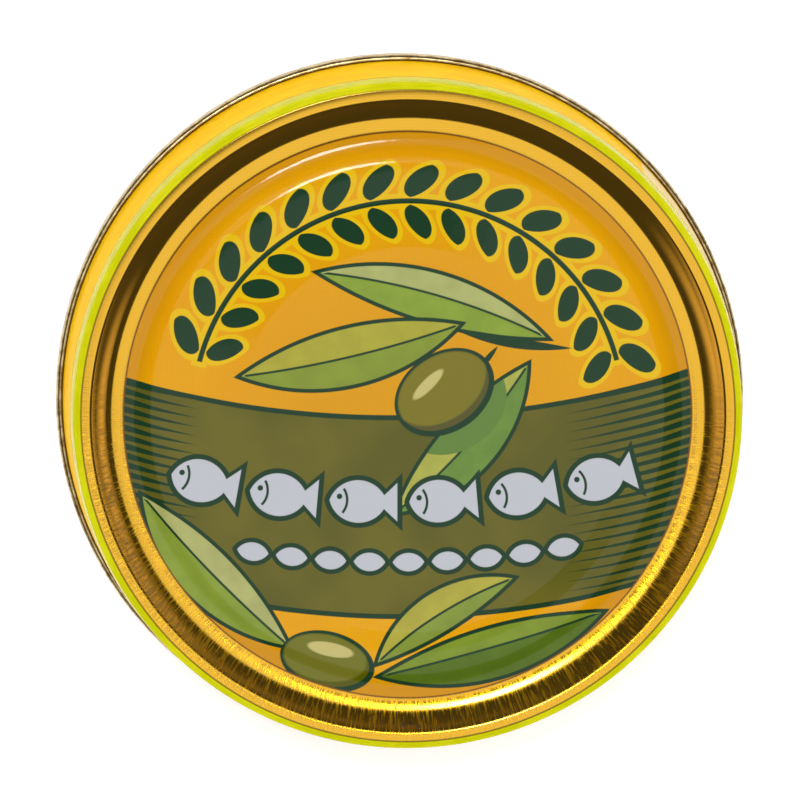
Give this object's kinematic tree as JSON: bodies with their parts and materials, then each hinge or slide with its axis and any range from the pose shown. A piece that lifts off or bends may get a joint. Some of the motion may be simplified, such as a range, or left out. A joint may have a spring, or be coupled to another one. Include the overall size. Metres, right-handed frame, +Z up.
{
  "type": "tuna can",
  "caption": "Shut round printed tin for tuna, resting on its seamed easy-open end, with the picture panel in a raised gold ring facing up.",
  "frame": {"origin": "centre of the circle that the tin rests on, at the lower edge of the seam", "axes": "+Z up through the middle of the printed face, +Y towards the top of the print"},
  "size_m": [0.0766, 0.0766, 0.025],
  "materials": {
    "printed_tin": "glossy varnished print in orange, yellow, lime and olive over gold lacquer",
    "bare_tin": "clear-lacquered tinplate, lightly scuffed",
    "pull_metal": "satin"
  },
  "bodies": {
    "root": {"body": "printed_tin", "end": "bare_tin", "ring_pull": "pull_metal"}
  },
  "joints": []
}
